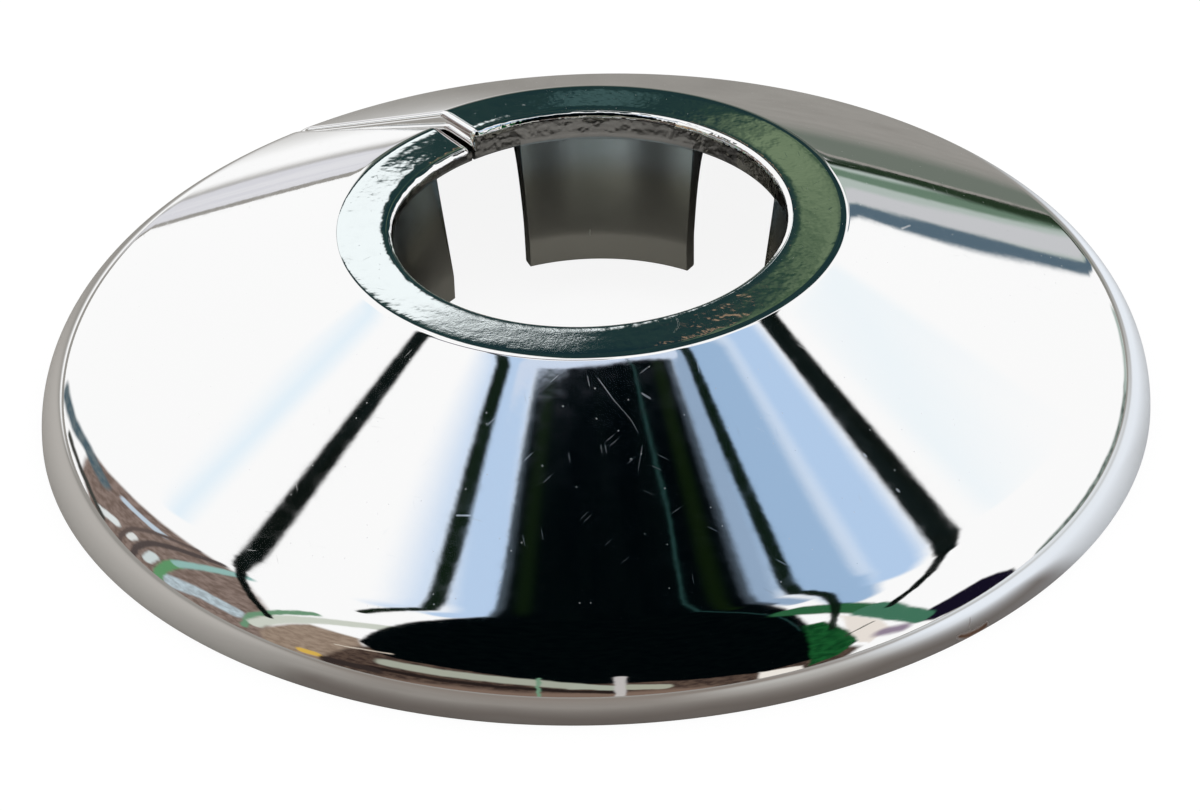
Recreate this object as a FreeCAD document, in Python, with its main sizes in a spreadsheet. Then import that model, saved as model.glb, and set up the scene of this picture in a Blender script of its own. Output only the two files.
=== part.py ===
import FreeCAD, Part
import math
import os

import Sketcher
from FreeCAD import Placement, Rotation, Vector

# Split collar that snaps round a radiator pipe and hides the hole that the pipe comes out of.
# It is one moulding: a hollow conical shell with a flat ring round its bore, four sprung tabs
# that hang inside the bore and grip the pipe, and one radial split that lets it flex open.
# Frame: origin on the pipe's axis at the floor, +Z up along that axis, the split on the +Y side.
# Lengths are in millimetres and angles in degrees.

SIZES = {
    # Outer skin
    "outer_diameter": 47.0,
    "collar_height": 8.7,
    "rim_radius": 3.85,
    "ring_width": 2.45,
    # Bore and wall
    "bore_diameter": 16.4,
    "wall_thickness": 1.0,
    # Tabs that grip the pipe
    "pipe_diameter": 15.0,
    "tab_count": 4,
    "tab_angle": 54.0,
    "tab_thickness": 0.6,
    "tab_floor_gap": 2.0,
    "grip_length": 1.2,
    # Split, whose ends stand out of line: the section is rolled up at one and down at the other
    "split_width": 0.15,
    "end_step": 0.7,
}

QUARTER_TURN = math.pi / 2
HALF_TURN = math.pi
ORIGIN = (-1, 1)
FLOOR_LINE = -1
MIDDLE_LINE = -2
START, END, CENTRE = 1, 2, 3

OUTER_RADIUS = "Sizes.outer_diameter / 2"
BORE_RADIUS = "Sizes.bore_diameter / 2"
RING_RADIUS = "(Sizes.bore_diameter / 2 + Sizes.ring_width)"
CORE_RADIUS = "(Sizes.bore_diameter / 2 - Sizes.wall_thickness)"
PIPE_RADIUS = "Sizes.pipe_diameter / 2"


def make_sheet(doc):
    sheet = doc.addObject("Spreadsheet::Sheet", "Sizes")
    for row, (alias, value) in enumerate(SIZES.items(), start=1):
        sheet.set(f"A{row}", alias)
        sheet.set(f"B{row}", str(value))
        sheet.setAlias(f"B{row}", alias)
    doc.recompute()
    return sheet


def attach(sketch, body, role):
    sketch.AttachmentSupport = [(next(f for f in body.Origin.OriginFeatures if f.Role == role), "")]
    sketch.MapMode = "FlatFace"


def radial_sketch(body, name, turn):
    """Sketch on a half plane through the axis, turned from the split: x is the radius, y is up."""
    sketch = body.newObject("Sketcher::SketchObject", name)
    attach(sketch, body, "YZ_Plane")
    sketch.AttachmentOffset = Placement(Vector(), Rotation(Vector(0, 1, 0), turn))
    return sketch


def arc(centre, radius, first, last):
    return Part.ArcOfCircle(Part.Circle(centre, Vector(0, 0, 1), radius), first, last)


def lines(corners):
    return [Part.LineSegment(a, b) for a, b in zip(corners, corners[1:])]


def constrain(sketch, *rules):
    sketch.addConstraint([Sketcher.Constraint(*rule) for rule in rules])


def dimension(sketch, name, expression, kind, *where):
    """Add one dimension and bind it to the sheet."""
    value = float(sketch.evalExpression(expression))
    index = sketch.addConstraint(Sketcher.Constraint(kind, *where, value))
    sketch.renameConstraint(index, name)
    sketch.setExpression(f"Constraints.{name}", expression)


def measure(sketch, name, value, kind, *where):
    """Add one dimension that follows the sketch, for other sketches to read."""
    index = sketch.addConstraint(Sketcher.Constraint(kind, *where, value))
    sketch.setDriving(index, False)
    sketch.renameConstraint(index, name)


def rolled_height(share, radius):
    """Height of the top at a radius, where a share of the end step is reached at the bore."""
    roll = f"{share} * Sizes.end_step / ({OUTER_RADIUS} - {BORE_RADIUS})"
    return f"Sizes.collar_height + {roll} * ({OUTER_RADIUS} - {radius})"


def wall_section(body, sheet, name, turn, share=0, level=None):
    """Section of the shell's wall, with its flank tangent to its rim and its ring running in past the bore.

    Given the level section, a share of the end step rolls the flank and the ring up about the rim.
    The rim and the hollow stay as they are in the level section.
    """
    outer = sheet.outer_diameter / 2
    rim = sheet.rim_radius
    wall = sheet.wall_thickness
    bore = sheet.bore_diameter / 2
    inside = bore - wall
    ring_edge = bore + sheet.ring_width
    height = sheet.collar_height
    roll = share * sheet.end_step / (outer - bore)

    rim_centre = Vector(outer - rim, 0)
    reach = Vector(ring_edge, height) - rim_centre
    slope = math.atan2(reach.y, reach.x) - math.acos(rim / reach.Length)
    normal = Vector(math.cos(slope), math.sin(slope))
    flank_foot = rim_centre + normal * rim
    inner_foot = rim_centre + normal * (rim - wall)
    under_ring = Vector(ring_edge - wall * math.tan((QUARTER_TURN - slope) / 2), height - wall)
    corners = [
        flank_foot,
        Vector(ring_edge, height + roll * (outer - ring_edge)),
        Vector(inside, height + roll * (outer - inside)),
        Vector(inside, height - wall),
        under_ring,
        inner_foot,
        Vector(outer - wall, 0),
        Vector(outer, 0),
    ]

    sketch = radial_sketch(body, name, turn)
    flank, ring, core, under, inner_flank, inner_rim, foot = sketch.addGeometry(lines(corners))
    rim_arc = sketch.addGeometry(arc(rim_centre, rim, 0, slope))
    spoke = sketch.addGeometry(Part.LineSegment(rim_centre, flank_foot), True)
    constrain(
        sketch,
        ("Coincident", flank, END, ring, START),
        ("Coincident", ring, END, core, START),
        ("Coincident", core, END, under, START),
        ("Coincident", under, END, inner_flank, START),
        ("Coincident", inner_flank, END, inner_rim, START),
        ("Coincident", inner_rim, END, foot, START),
        ("Coincident", foot, END, rim_arc, START),
        ("Coincident" if level else "Tangent", rim_arc, END, flank, START),
        ("Coincident", spoke, START, rim_arc, CENTRE),
        ("Coincident", spoke, END, rim_arc, END),
        ("PointOnObject", inner_flank, END, spoke),
        ("PointOnObject", rim_arc, CENTRE, FLOOR_LINE),
        ("PointOnObject", foot, START, FLOOR_LINE),
        ("PointOnObject", foot, END, FLOOR_LINE),
        ("Vertical", core),
        ("Horizontal", under),
    )
    dimension(sketch, "rim_reach", OUTER_RADIUS, "DistanceX", *ORIGIN, foot, END)
    dimension(sketch, "rim_round", "Sizes.rim_radius", "Radius", rim_arc)
    dimension(sketch, "rim_wall", "Sizes.wall_thickness", "DistanceX", foot, START, foot, END)
    dimension(sketch, "ring_reach", RING_RADIUS, "DistanceX", *ORIGIN, ring, START)
    dimension(sketch, "ring_height", rolled_height(share, RING_RADIUS), "DistanceY", *ORIGIN, ring, START)
    dimension(sketch, "core_reach", CORE_RADIUS, "DistanceX", *ORIGIN, ring, END)
    dimension(sketch, "core_height", rolled_height(share, CORE_RADIUS), "DistanceY", *ORIGIN, ring, END)
    dimension(sketch, "under_height", "Sizes.collar_height - Sizes.wall_thickness",
              "DistanceY", *ORIGIN, under, START)

    shared = (
        ("foot_height", flank_foot.y, "DistanceY", *ORIGIN, flank, START),
        ("inner_height", inner_foot.y, "DistanceY", *ORIGIN, inner_flank, END),
        ("under_reach", under_ring.x, "DistanceX", *ORIGIN, inner_flank, START),
    )
    if level:
        for key, _, kind, *where in shared:
            dimension(sketch, key, f"{level.Name}.Constraints.{key}", kind, *where)
    else:
        constrain(sketch, ("Parallel", inner_flank, flank))
        dimension(sketch, "flank_wall", "Sizes.wall_thickness", "Distance", inner_flank, START, flank)
        for key, value, kind, *where in shared:
            measure(sketch, key, value, kind, *where)
    body.Document.recompute()
    return sketch


def half_circle(body, sheet, name, first):
    """Half of the rim's circle on the floor, from the +Y side to the -Y side or back."""
    sketch = body.newObject("Sketcher::SketchObject", name)
    attach(sketch, body, "XY_Plane")
    path = sketch.addGeometry(arc(Vector(), sheet.outer_diameter / 2, first, first + HALF_TURN))
    constrain(
        sketch,
        ("Coincident", path, CENTRE, *ORIGIN),
        ("PointOnObject", path, START, MIDDLE_LINE),
        ("PointOnObject", path, END, MIDDLE_LINE),
    )
    dimension(sketch, "rim_circle", OUTER_RADIUS, "Radius", path)
    return sketch


def half_shell(body, name, path, first_section, last_section):
    """Wall swept half way round, its section changing evenly from the first to the last."""
    pipe = body.newObject("PartDesign::AdditivePipe", name)
    pipe.Profile = first_section
    pipe.Spine = (path, ["Edge1"])
    pipe.Sections = [(last_section, [""])]
    pipe.Transformation = "Multisection"
    pipe.Mode = "Frenet"


def make_shell(body, sheet):
    """Hollow shell in two halves, level opposite the split, one end rolled up and the other down."""
    level = wall_section(body, sheet, "LevelSection", 180)
    raised = wall_section(body, sheet, "RaisedSection", 0, 0.5, level)
    lowered = wall_section(body, sheet, "LoweredSection", 0, -0.5, level)
    right_path = half_circle(body, sheet, "RightPath", -QUARTER_TURN)
    left_path = half_circle(body, sheet, "LeftPath", QUARTER_TURN)
    half_shell(body, "RightHalf", right_path, level, raised)
    half_shell(body, "LeftHalf", left_path, lowered, level)


def cut_through(body, name, sketch):
    pocket = body.newObject("PartDesign::Pocket", name)
    pocket.Profile = sketch
    pocket.Type = "ThroughAll"
    pocket.SideType = "Symmetric"


def make_bore(body, sheet):
    """Cut the bore straight through, so that it stays a true cylinder where the ring is rolled."""
    sketch = body.newObject("Sketcher::SketchObject", "BoreSection")
    attach(sketch, body, "XY_Plane")
    circle = sketch.addGeometry(Part.Circle(Vector(), Vector(0, 0, 1), sheet.bore_diameter / 2))
    constrain(sketch, ("Coincident", circle, CENTRE, *ORIGIN))
    dimension(sketch, "bore_width", "Sizes.bore_diameter", "Diameter", circle)
    cut_through(body, "Bore", sketch)


def make_tabs(body, sheet):
    """Tabs that lean in from the bore to a short straight grip at the pipe's own radius."""
    bore = sheet.bore_diameter / 2
    pipe = sheet.pipe_diameter / 2
    thick = sheet.tab_thickness
    root = sheet.collar_height - sheet.wall_thickness / 2
    tip = sheet.tab_floor_gap
    grip = tip + sheet.grip_length

    sketch = radial_sketch(body, "TabSection", 0)
    sketch.setExpression("AttachmentOffset.Rotation.Angle", "180 / floor(Sizes.tab_count)")
    corners = [
        Vector(bore, root),
        Vector(pipe, grip),
        Vector(pipe, tip),
        Vector(pipe + thick, tip),
        Vector(pipe + thick, grip),
        Vector(bore + thick, root),
    ]
    sides = lines(corners + corners[:1])
    lean, inner_grip, tip_face, outer_grip, back, top = sketch.addGeometry(sides)
    constrain(
        sketch,
        ("Coincident", lean, END, inner_grip, START),
        ("Coincident", inner_grip, END, tip_face, START),
        ("Coincident", tip_face, END, outer_grip, START),
        ("Coincident", outer_grip, END, back, START),
        ("Coincident", back, END, top, START),
        ("Coincident", top, END, lean, START),
        ("Vertical", inner_grip),
        ("Horizontal", tip_face),
        ("Vertical", outer_grip),
        ("Equal", inner_grip, outer_grip),
        ("Parallel", back, lean),
        ("Horizontal", top),
    )
    dimension(sketch, "root_reach", BORE_RADIUS, "DistanceX", *ORIGIN, lean, START)
    dimension(sketch, "root_height", "Sizes.collar_height - Sizes.wall_thickness / 2",
              "DistanceY", *ORIGIN, lean, START)
    dimension(sketch, "grip_reach", PIPE_RADIUS, "DistanceX", *ORIGIN, inner_grip, START)
    dimension(sketch, "grip_height", "Sizes.grip_length", "DistanceY", inner_grip, END, inner_grip, START)
    dimension(sketch, "tip_height", "Sizes.tab_floor_gap", "DistanceY", *ORIGIN, tip_face, START)
    dimension(sketch, "tab_wall", "Sizes.tab_thickness", "DistanceX", tip_face, START, tip_face, END)

    tab = body.newObject("PartDesign::Revolution", "Tab")
    tab.Profile = sketch
    tab.ReferenceAxis = (sketch, ["V_Axis"])
    tab.Midplane = True
    tab.setExpression("Angle", "Sizes.tab_angle")
    body.Document.recompute()

    pattern = body.newObject("PartDesign::PolarPattern", "Tabs")
    pattern.Originals = [tab]
    pattern.Axis = (sketch, ["V_Axis"])
    pattern.Angle = 360
    pattern.setExpression("Occurrences", "floor(Sizes.tab_count)")
    body.Tip = pattern


def make_split(body, sheet):
    """Cut the shell through on its +Y side, midway between two tabs."""
    half = sheet.split_width / 2
    reach = sheet.outer_diameter
    corners = [Vector(-half, 0), Vector(half, 0), Vector(half, reach), Vector(-half, reach)]
    sketch = body.newObject("Sketcher::SketchObject", "SplitSection")
    attach(sketch, body, "XY_Plane")
    near, right, far, left = sketch.addGeometry(lines(corners + corners[:1]))
    constrain(
        sketch,
        ("Coincident", near, END, right, START),
        ("Coincident", right, END, far, START),
        ("Coincident", far, END, left, START),
        ("Coincident", left, END, near, START),
        ("Vertical", right),
        ("Horizontal", far),
        ("Vertical", left),
        ("PointOnObject", near, START, FLOOR_LINE),
        ("Symmetric", near, START, near, END, MIDDLE_LINE),
    )
    dimension(sketch, "split_gap", "Sizes.split_width", "DistanceX", near, START, near, END)
    dimension(sketch, "split_reach", "Sizes.outer_diameter", "DistanceY", right, START, right, END)

    cut_through(body, "Split", sketch)


def check(doc, body):
    """Stop if any object failed to build or the finished solid isn't sound."""
    doc.recompute()
    for item in doc.Objects:
        if "Invalid" in item.State or "Error" in item.State:
            raise RuntimeError(f"{item.Name} failed: {item.State}")
    if body.Shape.isNull() or not body.Shape.isValid() or len(body.Shape.Solids) != 1:
        raise RuntimeError(f"{body.Label} isn't one sound solid")


def main():
    doc = FreeCAD.newDocument("RadiatorPipeCollar")
    sheet = make_sheet(doc)
    collar = doc.addObject("PartDesign::Body", "collar")
    collar.Label = "collar"
    collar.Placement = Placement()
    make_shell(collar, sheet)
    make_bore(collar, sheet)
    make_tabs(collar, sheet)
    make_split(collar, sheet)
    check(doc, collar)
    os.makedirs("parts", exist_ok=True)
    collar.Shape.exportStep(f"parts/{collar.Label}.step")
    box = collar.Shape.optimalBoundingBox()
    print(f"{collar.Label}: {box.XLength:.2f} x {box.YLength:.2f} x {box.ZLength:.2f} mm,"
          f" {collar.Shape.Volume:.1f} mm3")


main()
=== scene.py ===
import math

import bmesh
import bpy
import numpy as np
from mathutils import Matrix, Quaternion, Vector


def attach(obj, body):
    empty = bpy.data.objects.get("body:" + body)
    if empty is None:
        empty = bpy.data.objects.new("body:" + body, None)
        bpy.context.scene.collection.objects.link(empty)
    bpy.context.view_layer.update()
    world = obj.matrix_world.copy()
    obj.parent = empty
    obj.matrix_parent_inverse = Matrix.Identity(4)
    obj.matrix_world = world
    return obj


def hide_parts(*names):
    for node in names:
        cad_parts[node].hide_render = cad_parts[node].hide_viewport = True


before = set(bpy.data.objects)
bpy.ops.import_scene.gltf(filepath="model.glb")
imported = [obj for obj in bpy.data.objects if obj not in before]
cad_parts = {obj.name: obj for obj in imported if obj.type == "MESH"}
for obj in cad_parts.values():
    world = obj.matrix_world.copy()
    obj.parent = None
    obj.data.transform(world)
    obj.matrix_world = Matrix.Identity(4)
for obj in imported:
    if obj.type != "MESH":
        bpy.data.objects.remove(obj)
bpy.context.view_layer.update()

MM = 0.001

# Sizes of the collar, in millimetres. The main ones are those of the CAD model.
OUTER_RADIUS = 23.5
RIM_RADIUS = 3.85
RING_EDGE = 10.65
BORE_RADIUS = 8.2
COLLAR_HEIGHT = 8.7
WALL = 1.0
PIPE_RADIUS = 7.5
TAB_THICKNESS = 0.6
TAB_TIP = 2.0
GRIP_TOP = 3.2
TAB_TURNS = (43.0, 136.0, 226.0, 317.5)
TAB_ANGLE = 54.0
SPLIT_HALF = 0.075
END_STEP = 0.7
RING_EDGE_ROUND = 0.9
BORE_EDGE_ROUND = 0.3
END_ROUND = 0.3

# Places where two lines of the section meet, in millimetres.
RING_UNDERSIDE = COLLAR_HEIGHT - WALL
BORE_SKIN_FOOT = COLLAR_HEIGHT - 0.5
UNDERSIDE_EDGE = BORE_RADIUS + 1.6
TIP_TOP = TAB_TIP + 0.12

# The mesh, in degrees: between two columns, from the split to the first column that runs straight out from the axis,
# and the bend from which an edge is sharp.
COLUMN_STEP = 0.75
SETTLED_TURN = 5.0
SHARP_BEND = 38.0

# Share of the light that the plating gives back.
PLATING = 0.95

# Tints inside the bore, where the plating is duller: painted shade low down and a painted bluish highlight higher up.
# Then the tints of the worn flaw.
INSIDE_PAINTED_SHADE, INSIDE_PAINTED_HIGHLIGHT = (0.7, 0.7, 0.64, 1), (0.84, 0.94, 1.0, 1)
WORN_DARK, WORN_LIGHT = (84, 58, 42), (134, 102, 82)

# Roughness that each kind of mark adds to the plating.
SCRATCH_ROUGHNESS = 0.11
SPECK_ROUGHNESS = 0.3
INSIDE_ROUGHNESS = 0.22
SCUFF_ROUGHNESS = 0.05
WORN_ROUGHNESS = 0.45

# Unevenness of the plating, in micrometres: long waves, blotches all over and more of them on the ring and on the
# bore's wall, and the grain of the scuff.
MICROMETRE = 1e-6
WAVE_HEIGHT = 8.0
BLOTCH_HEIGHT = 0.6
RING_BLOTCH_HEIGHT = 4.0
WALL_BLOTCH_HEIGHT = 55.0
GRAIN_HEIGHT = 2.2

# Fine scratches lie in these directions, in degrees, and this is how their cells are stretched.
HAIRLINE_TURNS = (25, 80, 140)
HAIRLINE_STRETCH = (0.35, 7, 1)

# The floor: radius in metres, what it gives back of the light and how bright it is by itself to the camera, and the
# two greys of its stone in the plating.
FLOOR_RADIUS = 3.0
FLOOR_PALE = 0.12
FLOOR_GLOW = 0.9
STONE_DARK, STONE_LIGHT = (136, 133, 128), (164, 161, 156)

# Share of its angle from straight up by which a mirrored edge wanders, and the room in degrees that this takes.
WANDER = 0.02
WANDER_ROOM = 1.5

# The camera that matches the photo, in the row frame.
CAMERA_AZIMUTH = -36.5
CAMERA_ELEVATION = 33.34
CAMERA_DISTANCE = 206.8
CAMERA_LENS = 145.7
CAMERA_SENSOR = 36.0
CAMERA_ROLL = 1.89
AIM_RIGHT = 0.2
AIM_UP = -0.588


def srgb(red, green, blue):
    """Linear colour of an 8-bit screen colour."""
    values = [c / 255 for c in (red, green, blue)]
    return tuple(c / 12.92 if c <= 0.04045 else ((c + 0.055) / 1.055) ** 2.4 for c in values) + (1.0,)


def rounded(corners, step):
    """Points along a line through (r, z, radius, segments) corners, each corner rounded to its radius."""
    points = []
    last = len(corners) - 1
    for index, (r, z, radius, segments) in enumerate(corners):
        here = np.array([r, z])
        if index in (0, last) or radius == 0:
            bend = [here]
        else:
            before = np.array(corners[index - 1][:2]) - here
            after = np.array(corners[index + 1][:2]) - here
            before /= np.linalg.norm(before)
            after /= np.linalg.norm(after)
            half = math.acos(np.clip(before @ after, -1, 1)) / 2
            middle = before + after
            centre = here + middle / np.linalg.norm(middle) * radius / math.sin(half)
            first = here + before * radius / math.tan(half) - centre
            final = here + after * radius / math.tan(half) - centre
            angle = math.acos(np.clip(first @ final / radius ** 2, -1, 1))
            bend = [
                centre + (first * math.sin(angle * (1 - k)) + final * math.sin(angle * k)) / math.sin(angle)
                for k in np.linspace(0, 1, segments + 1)
            ]
        if points:
            gap = np.linalg.norm(bend[0] - points[-1])
            count = max(1, round(gap / step))
            points += [points[-1] + (bend[0] - points[-1]) * k / count for k in range(1, count)]
            if gap < 1e-6:
                bend = bend[1:]
        points += bend
    return np.array(points)


def resample(points, count):
    """The same line with that many points, evenly spaced."""
    lengths = np.concatenate([[0], np.cumsum(np.linalg.norm(np.diff(points, axis=0), axis=1))])
    places = np.linspace(0, lengths[-1], count)
    return np.stack([np.interp(places, lengths, points[:, k]) for k in (0, 1)], axis=1)


def outer_skin():
    """Section of the skin from the foot's inside edge, over the rim, flank and ring, into the bore."""
    reach = np.array([RING_EDGE - (OUTER_RADIUS - RIM_RADIUS), COLLAR_HEIGHT])
    slope = math.atan2(reach[1], reach[0]) - math.acos(RIM_RADIUS / np.hypot(*reach))
    rim_corner = RIM_RADIUS * math.tan(slope / 2)
    return rounded([
        (OUTER_RADIUS - WALL, 0, 0, 0),
        (OUTER_RADIUS, 0, 0, 0),
        (OUTER_RADIUS, rim_corner, RIM_RADIUS, 40),
        (RING_EDGE, COLLAR_HEIGHT, RING_EDGE_ROUND, 10),
        (BORE_RADIUS, COLLAR_HEIGHT, BORE_EDGE_ROUND, 12),
        (BORE_RADIUS, BORE_SKIN_FOOT, 0, 0),
    ], step=0.4), slope


def inner_skin(slope):
    """Section of the hollow, from the underside of the ring to the foot's inside edge."""
    centre = np.array([OUTER_RADIUS - RIM_RADIUS, 0])
    foot = centre + (RIM_RADIUS - WALL) * np.array([math.cos(slope), math.sin(slope)])
    under = RING_EDGE - WALL * math.tan((math.pi / 2 - slope) / 2)
    return rounded([
        (UNDERSIDE_EDGE, RING_UNDERSIDE, 0, 0),
        (under, RING_UNDERSIDE, 0.2, 4),
        (foot[0], foot[1], 1.0, 6),
        (OUTER_RADIUS - WALL, 0, 0, 0),
    ], step=0.6)


def bore_section():
    """Section inside the bore between the tabs: wall of the bore, then the underside of the ring."""
    wall = [(BORE_RADIUS, BORE_SKIN_FOOT), (BORE_RADIUS, RING_UNDERSIDE + 0.1)]
    under = [(BORE_RADIUS + 0.1, RING_UNDERSIDE), (UNDERSIDE_EDGE, RING_UNDERSIDE)]
    corner = [wall[-1], (BORE_RADIUS + 0.03, RING_UNDERSIDE + 0.03), under[0]]
    return [np.array(part) for part in (wall, corner, under)]


def tab_section():
    """Section of a tab: inner face, tip, then back up to the underside of the ring."""
    back_radius = PIPE_RADIUS + TAB_THICKNESS
    inner = rounded([
        (BORE_RADIUS, BORE_SKIN_FOOT, 0, 0),
        (BORE_RADIUS, RING_UNDERSIDE + 0.05, 0.08, 4),
        (BORE_RADIUS + 0.12, RING_UNDERSIDE - 0.05, 0.06, 4),
        (PIPE_RADIUS, GRIP_TOP, 2.0, 6),
        (PIPE_RADIUS, TIP_TOP, 0, 0),
    ], step=0.4)
    tip = rounded([
        (PIPE_RADIUS, TIP_TOP, 0, 0),
        (PIPE_RADIUS, TAB_TIP, 0.06, 3),
        (back_radius, TAB_TIP, 0.06, 3),
        (back_radius, TIP_TOP, 0, 0),
    ], step=0.3)
    back = rounded([
        (back_radius, TIP_TOP, 0, 0),
        (back_radius, GRIP_TOP, 1.5, 4),
        (BORE_RADIUS + TAB_THICKNESS, RING_UNDERSIDE, 0.2, 4),
        (UNDERSIDE_EDGE, RING_UNDERSIDE, 0, 0),
    ], step=0.5)
    return inner, tip, back


def columns():
    """Places round the collar as (turn from the split at a radius, tab or not, distance from an end).

    The turn is in degrees, from one end of the split round to the other.
    """
    ends = [END_ROUND * share for share in (0, 0.04, 0.14, 0.3, 0.5, 0.75, 1.0)]
    edges = []
    for middle in TAB_TURNS:
        edges += [middle - TAB_ANGLE / 2, middle + TAB_ANGLE / 2]

    def end_turn(distance):
        return lambda r: np.degrees(np.arcsin((SPLIT_HALF + distance) / r))

    def blend(share):
        first = end_turn(ends[-1])
        return lambda r: first(r) * (1 - share) + SETTLED_TURN * share

    def fixed(turn):
        return lambda r: np.full_like(r, turn)

    def mirrored(turn):
        return lambda r: 360 - turn(r)

    start = [(end_turn(d), False, d) for d in ends]
    start += [(blend(share), False, None) for share in (0.12, 0.27, 0.45, 0.65, 0.83)]
    finish = [(mirrored(turn), tab, d) for turn, tab, d in reversed(start)]
    middle = []
    stops = [SETTLED_TURN] + edges + [360 - SETTLED_TURN]
    for index, (first, last) in enumerate(zip(stops, stops[1:])):
        tab = index % 2 == 1
        count = max(2, round((last - first) / COLUMN_STEP))
        middle += [(fixed(turn), tab, None) for turn in np.linspace(first, last, count + 1)]
    return start + middle + finish


def build_collar():
    """One closed mesh: the section carried round from one end of the split to the other."""
    outer, slope = outer_skin()
    inner = inner_skin(slope)
    plain, tabbed = bore_section(), tab_section()
    # Points on the bore's wall, corner and underside, and as many on a tab's face, tip and back.
    counts = (30, 12, 16)
    plain = np.concatenate([resample(part, n + 1)[1:] for part, n in zip(plain, counts)])
    tabbed = np.concatenate([resample(part, n + 1)[1:] for part, n in zip(tabbed, counts)])
    flank_foot = OUTER_RADIUS - RIM_RADIUS + RIM_RADIUS * math.cos(slope)

    sections = {}
    for tab, bore in ((False, plain), (True, tabbed)):
        points = np.concatenate([outer, bore, inner[1:-1]])
        ahead = np.roll(points, -1, axis=0) - np.roll(points, 1, axis=0)
        normals = np.stack([ahead[:, 1], -ahead[:, 0]], axis=1)
        normals /= np.linalg.norm(normals, axis=1)[:, None]
        sections[tab] = points, normals
    skin = np.arange(len(sections[False][0])) < len(outer)
    ring_share = (OUTER_RADIUS - RING_EDGE) / (OUTER_RADIUS - BORE_RADIUS)

    grid = []
    for turn, tab, distance in columns():
        points, normals = sections[tab]
        r, z = points[:, 0].copy(), points[:, 1].copy()
        if distance is not None:
            short = max(0.0, END_ROUND - distance)
            drop = (END_ROUND - math.sqrt(END_ROUND ** 2 - short ** 2)) * skin
            r -= normals[:, 0] * drop
            z -= normals[:, 1] * drop
            z = np.maximum(z, 0)
        angle = turn(r)
        lever = np.where(
            r > RING_EDGE,
            (flank_foot - r) / (flank_foot - RING_EDGE) * ring_share,
            ring_share + (RING_EDGE - r) / (RING_EDGE - BORE_RADIUS) * (1 - ring_share),
        )
        z += np.clip(lever, 0, 1) * END_STEP * (0.5 - angle / 360) * skin
        azimuth = np.radians(90 - angle)
        grid.append(np.stack([r * np.cos(azimuth), r * np.sin(azimuth), z], axis=1))
    grid = np.array(grid)
    across, along = grid.shape[:2]

    faces = []
    for column in range(across - 1):
        for row in range(along):
            after = (row + 1) % along
            faces.append((column * along + row, column * along + after,
                          (column + 1) * along + after, (column + 1) * along + row))
    faces.append(tuple(range(along))[::-1])
    faces.append(tuple(range((across - 1) * along, across * along)))

    mesh = bpy.data.meshes.new("collar_skin")
    mesh.from_pydata((grid.reshape(-1, 3) * MM).tolist(), [], faces)
    work = bmesh.new()
    work.from_mesh(mesh)
    bmesh.ops.remove_doubles(work, verts=work.verts, dist=1e-8)
    bmesh.ops.recalc_face_normals(work, faces=work.faces)
    work.to_mesh(mesh)
    work.free()
    mesh.polygons.foreach_set("use_smooth", [True] * len(mesh.polygons))
    mesh.set_sharp_from_angle(angle=math.radians(SHARP_BEND))
    piece = bpy.data.objects.new("collar_skin", mesh)
    bpy.context.collection.objects.link(piece)
    return piece


class Nodes:
    """Adds linked nodes to one tree."""

    def __init__(self, tree):
        self.tree = tree
        tree.nodes.clear()

    def add(self, kind, **settings):
        node = self.tree.nodes.new(kind)
        for key, value in settings.items():
            setattr(node, key, value)
        return node

    def plug(self, value, socket):
        if isinstance(value, bpy.types.NodeSocket):
            self.tree.links.new(value, socket)
        else:
            socket.default_value = value

    def math(self, operation, *values):
        node = self.add("ShaderNodeMath", operation=operation)
        for value, socket in zip(values, node.inputs):
            self.plug(value, socket)
        return node.outputs[0]

    def vector(self, operation, *values):
        node = self.add("ShaderNodeVectorMath", operation=operation)
        for value, socket in zip(values, node.inputs):
            self.plug(value, socket)
        return node.outputs["Value" if operation in ("DOT_PRODUCT", "LENGTH", "DISTANCE") else "Vector"]

    def scale(self, vector, factor):
        node = self.add("ShaderNodeVectorMath", operation="SCALE")
        self.plug(vector, node.inputs[0])
        self.plug(factor, node.inputs["Scale"])
        return node.outputs["Vector"]

    def step(self, value, low, high, first=0.0, last=1.0):
        """Smooth change from first to last as the value goes from low to high."""
        node = self.add("ShaderNodeMapRange", interpolation_type="SMOOTHSTEP", clamp=False)
        for given, socket in zip((value, low, high, first, last), node.inputs):
            self.plug(given, socket)
        return node.outputs[0]

    def mix(self, share, first, second):
        node = self.add("ShaderNodeMix", data_type="RGBA")
        for value, socket in ((share, node.inputs[0]), (first, node.inputs[6]), (second, node.inputs[7])):
            self.plug(value, socket)
        return node.outputs[2]

    def noise(self, vector, scale, detail=2.0, roughness=0.5, output="Fac"):
        node = self.add("ShaderNodeTexNoise")
        self.plug(vector, node.inputs["Vector"])
        node.inputs["Scale"].default_value = scale
        node.inputs["Detail"].default_value = detail
        node.inputs["Roughness"].default_value = roughness
        return node.outputs[output]

    def turned(self, vector, degrees):
        """The vector turned about the upright axis."""
        node = self.add("ShaderNodeVectorRotate", rotation_type="Z_AXIS")
        self.plug(vector, node.inputs["Vector"])
        node.inputs["Angle"].default_value = math.radians(degrees)
        return node.outputs[0]

    def along(self, vector, axis):
        """The vector's value along the axis with that number."""
        node = self.add("ShaderNodeSeparateXYZ")
        self.plug(vector, node.inputs[0])
        return node.outputs[axis]

    def coloured(self, kind, colour):
        """Shader of that kind in one colour."""
        node = self.add(kind)
        self.plug(colour, node.inputs["Color"])
        return node.outputs[0]

    def choose(self, share, first, second):
        """The first shader where the share is 0, the second where it is 1."""
        node = self.add("ShaderNodeMixShader")
        for value, socket in zip((share, first, second), node.inputs):
            self.plug(value, socket)
        return node.outputs[0]


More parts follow.
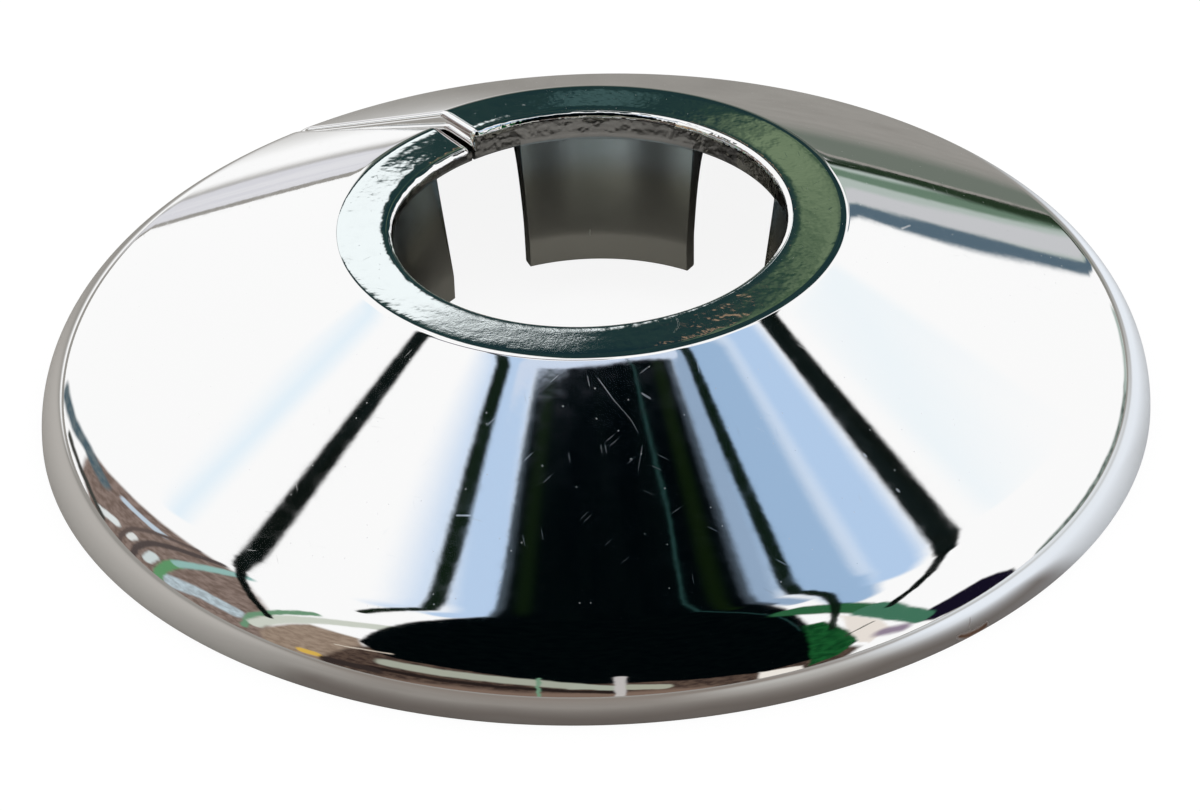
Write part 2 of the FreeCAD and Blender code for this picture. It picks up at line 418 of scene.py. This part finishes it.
def reach_group():
    """Node group that gives a place's distance from a straight run."""
    tree = bpy.data.node_groups.new("reach", "ShaderNodeTree")
    for name in ("Place", "Start", "Run", "Share"):
        tree.interface.new_socket(name, in_out="INPUT", socket_type="NodeSocketVector")
    tree.interface.new_socket("Distance", in_out="OUTPUT", socket_type="NodeSocketFloat")
    nodes = Nodes(tree)
    given = nodes.add("NodeGroupInput").outputs
    offset = nodes.vector("SUBTRACT", given["Place"], given["Start"])
    along = nodes.vector("DOT_PRODUCT", offset, given["Share"])
    along = nodes.math("MINIMUM", nodes.math("MAXIMUM", along, 0.0), 1.0)
    away = nodes.vector("LENGTH", nodes.vector("SUBTRACT", offset, nodes.scale(given["Run"], along)))
    nodes.plug(away, nodes.add("NodeGroupOutput").inputs[0])
    return tree


REACH = reach_group()


def near_line(nodes, place, runs, half_width, soft):
    """1 near any of the straight runs, 0 away from them."""
    nearest = None
    for first, last in runs:
        run = Vector(last) - Vector(first)
        reach = nodes.add("ShaderNodeGroup", node_tree=REACH)
        for value, socket in zip((place, first, run, run / run.length_squared), reach.inputs):
            nodes.plug(value, socket)
        away = reach.outputs[0]
        nearest = away if nearest is None else nodes.math("MINIMUM", nearest, away)
    return nodes.step(nearest, half_width - soft, half_width + soft, 1.0, 0.0)


def within(nodes, place, corners, soft):
    """1 inside a convex outline given anticlockwise, 0 outside it."""
    depth = None
    for first, last in zip(corners, corners[1:] + corners[:1]):
        run = Vector((last[0] - first[0], last[1] - first[1], 0)).normalized()
        inward = Vector((-run.y, run.x, 0))
        inside = nodes.math("SUBTRACT", nodes.vector("DOT_PRODUCT", place, inward),
                            inward.x * first[0] + inward.y * first[1])
        depth = inside if depth is None else nodes.math("MINIMUM", depth, inside)
    return nodes.step(depth, -soft, soft)


class Thing:
    """A strip or, without a half width, a filled outline, in one colour or mottled with a second one."""

    def __init__(self, points, half_width, soft, *tints):
        self.points = [(*point, 0.0) for point in points]
        self.half_width, self.soft = half_width, soft
        self.tints = [srgb(*tint) for tint in tints]
        self.runs = list(zip(self.points, self.points[1:]))

    def near(self, box):
        """The runs of its line, or all its corners, that reach into a box."""
        pad = self.half_width + self.soft + WANDER_ROOM
        pieces = self.runs if self.half_width else [self.points]
        return [piece for piece in pieces if all(
            min(point[axis] for point in piece) - pad < high and max(point[axis] for point in piece) + pad > low
            for axis, (low, high) in enumerate(box))]

    def over(self, nodes, place, colour, mottle, box):
        """The colour with this thing laid over it."""
        pieces = self.near(box)
        if not pieces:
            return colour
        if self.half_width:
            share = near_line(nodes, place, pieces, self.half_width, self.soft)
        else:
            share = within(nodes, place, self.points, self.soft)
        tint = self.tints[0]
        if len(self.tints) == 2:
            tint = nodes.mix(mottle, *self.tints)
        return nodes.mix(share, colour, tint)


# What stands round the collar and shows in its plating. A place is a direction drawn flat: degrees from straight up,
# to the camera's right and away from the camera. Later things lie over earlier ones.
SURROUNDINGS = [Thing(*row) for row in (
    # blue of the sky between the struts
    ([(15, 9), (19, 9.5), (24, 4), (35, -14)], 3.9, 1.6, (155, 184, 216)),
    ([(22, 17), (26, 13.5), (31, 6), (34, 0)], 3.7, 2.0, (180, 206, 237)),
    ([(-17, 12), (-16.5, 7), (-22, 2)], 1.6, 3.0, (203, 222, 245)),
    ([(-14, 11), (-12.2, 6.5), (-11, 4), (-16, 0)], 2.2, 1.2, (184, 208, 237)),
    ([(13.6, 9), (13.6, 6.8), (15, 4), (22, -5)], 1.6, 0.8, (146, 169, 196)),
    ([(-33, 36), (-34.6, 30.5), (-37, 28)], 1.6, 2.0, (232, 245, 254)),
    ([(36, 40), (35, 31), (34, 25)], 2.0, 2.5, (243, 250, 254)),
    # brick house with windows and eaves, trees beside it, boxes in front
    ([(-47, 2), (-53, 30), (-57, 44), (-72, 46), (-88, 36), (-93, 5), (-90, -32), (-80, -40), (-60, -22)], 0, 1.5,
     (112, 96, 88), (142, 125, 117)),
    ([(-80, 33), (-78, 26)], 2.2, 0.8, (224, 230, 230)),
    ([(-60, 28), (-58, 16)], 1.7, 0.7, (192, 207, 220)),
    ([(-79, 19), (-76, 18)], 1.8, 0.7, (222, 224, 222)),
    ([(-84, 10), (-77, 9)], 2.0, 0.8, (206, 216, 216)),
    ([(-86, -1), (-79, -9), (-75, -20)], 4.2, 1.2, (190, 206, 214), (160, 172, 178)),
    ([(-88, 23), (-76, 20.8), (-69, 19), (-58.7, 15.6), (-50, 11.5)], 1.0, 0.6, (96, 84, 80)),
    ([(-90, 16), (-78, 14.4), (-70, 12.9), (-61, 10.5), (-48, 6.5)], 1.4, 0.7, (82, 73, 71)),
    ([(-57, 66), (-59.5, 55), (-58.5, 46), (-63, 36)], 3.0, 1.4, (76, 96, 106), (104, 116, 120)),
    ([(-66, 57), (-74, 43), (-83, 32)], 1.6, 0.9, (64, 66, 62)),
    ([(-94, 4), (-80, 4), (-70, 3.5)], 2.1, 0.8, (96, 150, 104)),
    ([(-70, 3.5), (-59, 2.4), (-46, 1.5)], 1.7, 0.8, (146, 186, 180)),
    ([(-81, -28), (-69, -23.2), (-58, -20.5), (-44, -17)], 1.3, 0.6, (108, 148, 118)),
    ([(-44, -34), (-52, -26), (-78, -32), (-86, -40), (-72, -54), (-52, -52)], 0, 1.2,
     (160, 142, 126), (138, 120, 105)),
    ([(-74, -28), (-58, -24.5), (-44, -22), (-26, -20.5)], 2.4, 0.8, (204, 209, 198)),
    # yard wall and fence along the front
    ([(64, -56), (-46, -40), (-76, -54), (-70, -72), (-40, -90), (0, -99), (40, -90), (66, -74)], 0, 1.5,
     (58, 46, 42), (92, 76, 66)),
    ([(-70, -66), (-50, -76), (-25, -86), (0, -89), (30, -87)], 3.5, 2.5, (124, 104, 92)),
    # pale wall and dark shrub on the right
    ([(63.8, -43.5), (56, -37.2), (38.5, -26.5), (49.6, -43.2), (60, -52.5), (65.5, -53.6)], 0, 0.8, (234, 226, 218)),
    ([(64, -46), (70, -44)], 3.0, 2.0, (146, 132, 150)),
    ([(86, -9), (75.3, -16.1), (69.9, -31.8), (70, -40.8), (80, -39), (92, -19), (91, -9)], 0, 1.0, (20, 16, 34)),
    # trees low on the right and behind
    ([(90, 2), (88.5, 10), (86, 24), (82, 34), (77.5, 44), (71, 54), (64, 62)], 2.0, 1.2,
     (92, 104, 98), (140, 152, 146)),
    ([(64, 62), (56, 69), (48, 75)], 1.6, 1.4, (168, 182, 176)),
    ([(24, 74), (31, 62), (34.6, 67), (38, 80), (41, 92), (33, 93), (24, 80)], 0, 0.6, (176, 188, 182)),
    ([(31, 62), (32.8, 72), (33.6, 78), (37, 90)], 1.5, 0.6, (199, 200, 203)),
    ([(25, 74), (29, 80), (30.7, 82.4), (34, 90)], 1.6, 0.7, (104, 128, 110)),
    ([(24.5, 80), (27.3, 83.9), (29, 86), (33, 91)], 0.9, 0.6, (22, 38, 22)),
    ([(33, 56), (34.6, 67), (35.4, 72.5), (38, 80), (41, 92)], 1.1, 0.45, (86, 106, 120)),
    ([(20, 87.4), (27, 85.6), (31, 84.2), (36, 82.2)], 1.5, 0.6, (36, 52, 36)),
    # foliage that the flat ring looks at, with a gap of sky
    ([(18, 66), (25, 80), (27, 93), (-24, 93), (-17, 78), (-12, 66)], 0, 1.0, (70, 82, 76), (104, 110, 102)),
    ([(6, 21), (16, 28), (24, 40), (26, 50), (22, 64), (12, 78), (-9, 80), (-11, 60), (-9, 40), (-4, 24)], 0, 0.8,
     (22, 44, 50), (36, 58, 56)),
    ([(2.6, 54.5), (3.6, 57.2), (4.6, 60)], 1.4, 0.9, (112, 130, 102), (46, 72, 54)),
    ([(0.4, 62.6), (1.5, 61.9)], 0.4, 0.4, (62, 88, 88)),
    ([(0.5, 56.6), (1.4, 56.3)], 0.15, 0.12, (172, 144, 118)),
    ([(-0.9, 59.2), (-0.9, 61.5), (-10, 61.5), (-10, 57.8), (-2.0, 58.75)], 0, 0.3, (246, 254, 255)),
    # dark canopy overhead, its edges and seams
    ([(11.4, 7.6), (-9.6, 7.3), (-9.7, 3.5), (14.5, 3.5)], 0, 0.25, (1, 4, 6), (3, 8, 9)),
    ([(14, 4.6), (-9.7, 4.1), (-45.5, -36.5), (-46, -46), (-43.4, -50.1), (-35.1, -56.9), (-27.1, -61.9),
      (-18.9, -66.9), (-8, -74.2), (20, -75), (40, -73), (52, -64)], 0, 0.5, (1, 4, 6), (3, 8, 9)),
    ([(-9.7, 7.0), (-9.3, 4.2), (-12, 1)], 0.3, 0.45, (66, 76, 84)),
    ([(-7.7, 6.5), (-7.4, 3.5)], 0.7, 0.7, (12, 24, 10)),
    ([(9.4, 7.4), (10.4, 4.5), (13, 0)], 0.8, 0.7, (12, 24, 8)),
    ([(11.2, 7.5), (12.4, 6.2), (13.4, 4.8), (18, -2)], 0.45, 0.5, (64, 74, 84)),
    ([(-12, 8.4), (-6, 7.1), (0.5, 6.8), (7, 7.9), (12, 8.6)], 0.9, 0.25, (205, 218, 238)),
    ([(-22, 25), (-14, 17), (-6, 13), (0, 12)], 1.8, 1.0, (70, 64, 88)),
    ([(4.5, 7), (6, 5.4), (7.4, 4.4), (7.5, 3.3), (9.5, 2), (15, -5.4), (22.9, -16.2), (34, -35)], 0.15, 0.2,
     (34, 62, 60)),
    # fence, posts and boxes before the yard wall
    ([(-48.5, -55), (-37.6, -62.4), (-26.3, -67.6), (-15, -72.8), (-8, -76.5)], 3.6, 1.0, (164, 168, 154)),
    ([(-57, -59), (-41.3, -69.8), (-26.6, -76.6), (-9, -82.4), (4, -85)], 1.7, 0.9, (38, 30, 28)),
    ([(-6, -77), (2, -80)], 2.8, 0.6, (166, 172, 158)),
    ([(6.5, -79.5), (15, -81)], 2.8, 0.6, (164, 166, 150)),
    ([(3.5, -68), (4.4, -90)], 1.5, 0.5, (190, 186, 184)),
    ([(-15, -67), (-19, -88)], 0.5, 0.4, (112, 150, 124)),
    ([(52, -69), (39.7, -72.6), (44.9, -83), (58, -76)], 0, 0.7, (240, 234, 226)),
    ([(-55, -41), (-43, -46)], 0.5, 0.4, (208, 196, 182)),
    ([(-73, -45.5), (-70, -48.5)], 2.0, 0.7, (214, 176, 84)),
    ([(-69, -52.5), (-58, -61)], 2.6, 0.9, (52, 44, 42)),
    # green beams on the right, with leaves under them
    ([(24, -13.5), (34, -19), (45, -25.7)], 2.9, 0.7, (44, 96, 62)),
    ([(45, -25.7), (58, -33.3), (72, -37.5)], 4.0, 0.8, (66, 116, 92)),
    ([(58.8, -51.2), (36.4, -29.5), (32.6, -30.5), (44, -52), (55, -70), (60, -62)], 0, 0.7,
     (26, 88, 44), (14, 60, 30)),
    ([(53, -37), (51, -46)], 0.4, 0.3, (50, 58, 48)),
    # struts of the canopy
    ([(-21, 29), (-28.9, 20.4), (-36, 13.5), (-42.5, 7)], 1.55, 0.45, (9, 15, 12), (16, 24, 24)),
    ([(-42.5, 7), (-49.5, -1.2), (-56.5, -11.7), (-62.7, -23.5)], 1.1, 0.4, (9, 15, 13)),
    ([(22, 28), (28.6, 19.8), (31.5, 17), (39.9, 6)], 2.0, 0.45, (9, 15, 12), (16, 24, 24)),
    ([(39.9, 6), (46, -6), (48.9, -16), (50, -26)], 1.2, 0.4, (9, 15, 13)),
    ([(-16, 15), (-15.2, 9.2), (-14.9, 6.6), (-16, 5.2), (-18.5, 2.7), (-22, -0.6), (-30, -8.5)], 0.95, 0.35,
     (12, 26, 14)),
    ([(12.5, 12.5), (15, 8.6), (16.9, 6.7), (19.5, 4.4), (25.3, -3.5), (31.8, -14.8), (36.9, -25.7), (42.3, -37.6)],
     0.85, 0.3, (10, 24, 14)),
)]

# Painted contact shadow on the floor: a dark line along the front of the rim, which the plating mirrors.
PAINTED_SHADOW_RADIUS = OUTER_RADIUS + 0.8
PAINTED_CONTACT_SHADOW = [
    (PAINTED_SHADOW_RADIUS * math.cos(math.radians(turn)), PAINTED_SHADOW_RADIUS * math.sin(math.radians(turn)))
    for turn in range(240, 321, 20)
]

# Light and dark parts of the floor in the plating, the painted contact shadow among them, in millimetres to the
# camera's right and away from it.
FLOOR = [Thing(*row) for row in (
    ([(-25, -50), (25, -48)], 22, 16, (138, 130, 123)),
    ([(-28, -18), (-32, 4)], 10, 8, (182, 178, 173)),
    ([(12, -30), (22, -24)], 5, 5, (186, 184, 180)),
    ([(24, -20), (31, -8), (32, 6), (29, 17)], 8, 5, (240, 246, 254)),
    ([(-50, 34), (-17, 46)], 13, 9, (254, 254, 254)),
    ([(-30, 80), (-95, 300)], 17, 6, (226, 226, 230), (216, 216, 222)),
    ([(36, 84), (60, 150), (140, 420)], 28, 20, (110, 118, 109)),
    ([(90, -10), (900, -80)], 55, 30, (224, 228, 232)),
    # painted contact shadow along the front of the rim
    (PAINTED_CONTACT_SHADOW, 1.3, 1.9, (112, 105, 100)),
)]

# Bounds of the drawn surroundings, in degrees, and of the drawn floor, in millimetres.
WHOLE_SKY = [(-180, 180), (-180, 180)]
WHOLE_FLOOR = [(-5000, 5000), (-5000, 5000)]

# Where the surroundings are cut into parts: axis, place of the cut, part below it and part above it.
CUTS = (1, 40, (0, -34, (1, 0, (), ()), (0, 34, (1, -14, (), (0, 0, (), ())), ())), (0, 14, (), ()))


def surroundings(nodes, place, mottle, box, cuts):
    """Shader of what is seen in a box of places, cut into parts so that each carries only what is near it."""
    if cuts:
        axis, middle, *parts = cuts
        low, high = box[axis]
        shaders = []
        for part, reach in zip(parts, ((low, middle), (middle, high))):
            part_box = [reach if k == axis else box[k] for k in (0, 1)]
            shaders.append(surroundings(nodes, place, mottle, part_box, part))
        return nodes.choose(nodes.math("GREATER_THAN", nodes.along(place, axis), middle), *shaders)
    colour = (1, 1, 1, 1)
    for thing in SURROUNDINGS:
        colour = thing.over(nodes, place, colour, mottle, box)
    return nodes.coloured("ShaderNodeBackground", colour)


def from_camera(nodes, vector):
    """The vector turned so that y points away from the camera and x to its right."""
    return nodes.turned(vector, -CAMERA_AZIMUTH)


def spot_on_object(nodes):
    """Place on the object, in millimetres to the camera's right, away from it and up."""
    return nodes.scale(from_camera(nodes, nodes.add("ShaderNodeTexCoord").outputs["Object"]), 1 / MM)


def build_world():
    """White to the camera, plain white light, and surroundings that only the plating mirrors."""
    world = bpy.data.worlds.new("studio")
    bpy.context.scene.world = world
    world.use_nodes = True
    # The white light is even all round, so a map of where it is bright would only take time.
    world.cycles.sampling_method = "NONE"
    nodes = Nodes(world.node_tree)
    facing = from_camera(nodes, nodes.add("ShaderNodeTexCoord").outputs["Generated"])
    from_zenith = nodes.math("MULTIPLY", nodes.math("ARCCOSINE", nodes.along(facing, 2)), 180 / math.pi)
    level = nodes.vector("NORMALIZE", nodes.vector("MULTIPLY", facing, (1, 1, 0)))
    wander = nodes.vector("SUBTRACT", nodes.noise(facing, scale=14.0, output="Color"), (0.5, 0.5, 0.5))
    wander = nodes.scale(wander, nodes.math("MULTIPLY", from_zenith, WANDER))
    place = nodes.vector("ADD", nodes.scale(level, from_zenith), wander)
    place = nodes.vector("MULTIPLY", place, (1, 1, 0))
    mottle = nodes.step(nodes.noise(place, scale=0.35, detail=4.0, roughness=0.6), 0.35, 0.65)

    rays = nodes.add("ShaderNodeLightPath")
    mirrored = nodes.math("MAXIMUM", rays.outputs["Is Glossy Ray"], rays.outputs["Is Transmission Ray"])
    plain = nodes.coloured("ShaderNodeBackground", (1, 1, 1, 1))
    around = surroundings(nodes, place, mottle, WHOLE_SKY, CUTS)
    nodes.plug(nodes.choose(mirrored, plain, around), nodes.add("ShaderNodeOutputWorld").inputs["Surface"])


# Marks on the plating: lines through places in millimetres, to the camera's right, away from it and up.
SCRATCHES = [(list(zip(points, points[1:])), half_width) for points, half_width in (
    ([(3.39, -8.09, 8.67), (3.46, -8.62, 8.67), (3.24, -9.12, 8.67)], 0.05),
    ([(1.86, -12.21, 7.83), (2.17, -12.41, 7.71)], 0.035),
    ([(13.02, 0.03, 7.61), (13.39, 0.56, 7.42)], 0.05),
    ([(9.95, -0.2, 8.79), (10.07, -0.06, 8.79)], 0.05),
    ([(-5.55, -16.62, 5.3), (-5.04, -16.71, 5.33)], 0.035),
    ([(0.14, -11.58, 8.19), (0.75, -12.51, 7.73), (1.35, -13.26, 7.35), (1.65, -13.83, 7.06)], 0.012),
    ([(1.79, -14.37, 6.79), (1.59, -15.39, 6.31)], 0.012),
    ([(10.58, -13.58, 5.48), (10.64, -13.64, 5.44)], 0.05),
    ([(11.8, -14.84, 4.62), (11.88, -14.92, 4.58)], 0.045),
)]
WORN = [(13.99, -18.85, 0.24), (14.53, -18.46, 0.16), (15.08, -18.02, 0.12)]
CRACK = [(14.41, -18.5, 0.8), (14.41, -18.55, 0.5)]
SCUFF = [(-5.3, -7.6, 8.6), (-1.2, -9.2, 8.65)]


def flecks(nodes, place, size, share):
    """1 on small spots, one in some of the cells of the place's plane, 0 elsewhere."""
    cells = nodes.add("ShaderNodeTexVoronoi", voronoi_dimensions="2D")
    nodes.plug(place, cells.inputs["Vector"])
    cells.inputs["Scale"].default_value = 1.0
    chosen = nodes.math("LESS_THAN", nodes.vector("DOT_PRODUCT", cells.outputs["Color"], (1, 0, 0)), share)
    return nodes.math("MULTIPLY", chosen, nodes.step(cells.outputs["Distance"], size * 0.6, size, 1.0, 0.0))


def build_chrome():
    """Bright plating: faint waves, scuffs, specks and scratches and one worn flaw, and duller inside the bore, where
    shade is painted low down and a bluish highlight is painted towards the top.
    """
    material = bpy.data.materials.new("chrome_plate")
    material.use_nodes = True
    nodes = Nodes(material.node_tree)
    spot = spot_on_object(nodes)
    height = nodes.along(spot, 2)
    radius = nodes.vector("LENGTH", nodes.vector("MULTIPLY", spot, (1, 1, 0)))

    def product(first, *others):
        for other in others:
            first = nodes.math("MULTIPLY", first, other)
        return first

    def total(first, *others):
        for other in others:
            first = nodes.math("ADD", first, other)
        return first

    ring = product(
        nodes.step(radius, BORE_RADIUS + 0.1, BORE_RADIUS + 0.4),
        nodes.step(radius, RING_EDGE - 0.35, RING_EDGE + 0.05, 1.0, 0.0),
        nodes.step(height, COLLAR_HEIGHT - 0.6, COLLAR_HEIGHT - 0.4),
    )
    wall = product(
        nodes.step(radius, BORE_RADIUS + 0.05, BORE_RADIUS + 0.2, 1.0, 0.0),
        nodes.step(height, RING_UNDERSIDE - 0.1, RING_UNDERSIDE + 0.1),
    )
    inside = product(
        nodes.step(radius, BORE_RADIUS + 0.6, BORE_RADIUS + 0.8, 1.0, 0.0),
        nodes.step(height, RING_UNDERSIDE - 0.1, RING_UNDERSIDE + 0.2, 1.0, 0.0),
    )
    open_face = nodes.step(radius, OUTER_RADIUS - 2.5, OUTER_RADIUS - 1.5, 1.0, 0.0)

    waves, blotches = nodes.noise(spot, scale=0.12, detail=1.0), nodes.noise(spot, scale=1.5)
    frayed = nodes.vector("ADD", spot, nodes.math("MULTIPLY_ADD", blotches, 0.3, -0.15))
    worn = near_line(nodes, frayed, list(zip(WORN, WORN[1:])), half_width=0.14, soft=0.12)
    crack = near_line(nodes, frayed, list(zip(CRACK, CRACK[1:])), half_width=0.03, soft=0.03)
    scuff = near_line(nodes, spot, list(zip(SCUFF, SCUFF[1:])), half_width=1.3, soft=1.2)
    spoiled = nodes.math("MAXIMUM", worn, crack)

    specks = flecks(nodes, nodes.scale(spot, 2.3), size=0.06, share=0.06)
    scratched = 0.0
    for turn in HAIRLINE_TURNS:
        cells = nodes.vector("MULTIPLY", nodes.turned(spot, turn), HAIRLINE_STRETCH)
        scratched = nodes.math("MAXIMUM", scratched, flecks(nodes, cells, size=0.1, share=0.03))
    for runs, half_width in SCRATCHES:
        scratched = nodes.math("MAXIMUM", scratched, near_line(nodes, spot, runs, half_width, half_width * 0.6))

    rough = total(
        nodes.step(blotches, 0.45, 0.7, 0.03, 0.045),
        product(open_face, total(product(scratched, SCRATCH_ROUGHNESS), product(specks, SPECK_ROUGHNESS))),
        product(inside, INSIDE_ROUGHNESS),
        product(scuff, ring, SCUFF_ROUGHNESS),
        product(spoiled, spoiled, WORN_ROUGHNESS),
    )
    heights = total(
        product(waves, WAVE_HEIGHT),
        product(blotches, total(product(ring, RING_BLOTCH_HEIGHT), product(wall, WALL_BLOTCH_HEIGHT), BLOTCH_HEIGHT)),
        product(ring, scuff, nodes.noise(spot, scale=8.0, roughness=0.7), GRAIN_HEIGHT),
    )
    bump = nodes.add("ShaderNodeBump")
    bump.inputs["Distance"].default_value = MICROMETRE
    nodes.plug(heights, bump.inputs["Height"])

    # Painted shade inside the bore, turning to a painted bluish highlight towards the top of the tabs.
    painted_inside_light = nodes.mix(nodes.step(height, 5.6, 7.2), INSIDE_PAINTED_SHADE, INSIDE_PAINTED_HIGHLIGHT)
    colour = nodes.mix(inside, (PLATING, PLATING, PLATING, 1), painted_inside_light)
    colour = nodes.mix(spoiled, colour, nodes.mix(blotches, srgb(*WORN_DARK), srgb(*WORN_LIGHT)))
    shader = nodes.add("ShaderNodeBsdfPrincipled")
    nodes.plug(colour, shader.inputs["Base Color"])
    nodes.plug(nodes.step(spoiled, 0.0, 1.0, 1.0, 0.3), shader.inputs["Metallic"])
    nodes.plug(rough, shader.inputs["Roughness"])
    nodes.plug(bump.outputs[0], shader.inputs["Normal"])
    nodes.plug(shader.outputs[0], nodes.add("ShaderNodeOutputMaterial").inputs["Surface"])
    return material


def build_floor():
    """Pale floor: near white to the camera, with the collar's shadow, and stone grey in the plating."""
    mesh = bpy.data.meshes.new("floor")
    work = bmesh.new()
    bmesh.ops.create_circle(work, cap_ends=True, segments=64, radius=FLOOR_RADIUS)
    work.to_mesh(mesh)
    work.free()
    floor = bpy.data.objects.new("floor", mesh)
    bpy.context.collection.objects.link(floor)
    material = bpy.data.materials.new("floor")
    material.use_nodes = True
    nodes = Nodes(material.node_tree)
    glow = nodes.add("ShaderNodeEmission")
    glow.inputs["Strength"].default_value = FLOOR_GLOW
    lit = nodes.add("ShaderNodeAddShader")
    nodes.plug(nodes.coloured("ShaderNodeBsdfDiffuse", (FLOOR_PALE, FLOOR_PALE, FLOOR_PALE, 1)), lit.inputs[0])
    nodes.plug(glow.outputs[0], lit.inputs[1])

    spot = spot_on_object(nodes)
    mottle = nodes.step(nodes.noise(spot, scale=0.05, detail=3.0), 0.4, 0.6)
    grain = nodes.noise(spot, scale=0.25, detail=5.0, roughness=0.65)
    colour = nodes.mix(grain, srgb(*STONE_DARK), srgb(*STONE_LIGHT))
    for thing in FLOOR:
        colour = thing.over(nodes, spot, colour, mottle, WHOLE_FLOOR)
    stone = nodes.coloured("ShaderNodeBsdfDiffuse", colour)
    seen = nodes.add("ShaderNodeLightPath").outputs["Is Camera Ray"]
    shader = nodes.choose(seen, stone, lit.outputs[0])
    nodes.plug(shader, nodes.add("ShaderNodeOutputMaterial").inputs["Surface"])
    mesh.materials.append(material)


def build_camera():
    """The camera that sees the collar as the photo does."""
    data = bpy.data.cameras.new("camera")
    data.sensor_fit = "HORIZONTAL"
    data.sensor_width = CAMERA_SENSOR
    data.lens = CAMERA_LENS
    data.clip_start = 0.01
    data.clip_end = 20.0
    camera = bpy.data.objects.new("camera", data)
    bpy.context.collection.objects.link(camera)
    azimuth, elevation = math.radians(CAMERA_AZIMUTH), math.radians(CAMERA_ELEVATION)
    back = Vector((math.sin(azimuth) * math.cos(elevation), -math.cos(azimuth) * math.cos(elevation),
                   math.sin(elevation)))
    camera.rotation_mode = "QUATERNION"
    level = (-back).to_track_quat("-Z", "Y")
    turned = level @ Quaternion((0, 0, 1), math.radians(-CAMERA_ROLL))
    camera.rotation_quaternion = turned
    aim = turned @ Vector((AIM_RIGHT, AIM_UP, 0)) * MM
    camera.location = aim + back * CAMERA_DISTANCE * MM
    bpy.context.scene.camera = camera


bpy.context.scene.view_settings.view_transform = "Standard"
collar = build_collar()
collar.data.materials.append(build_chrome())
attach(collar, "root")
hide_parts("collar")
build_world()
build_floor()
build_camera()
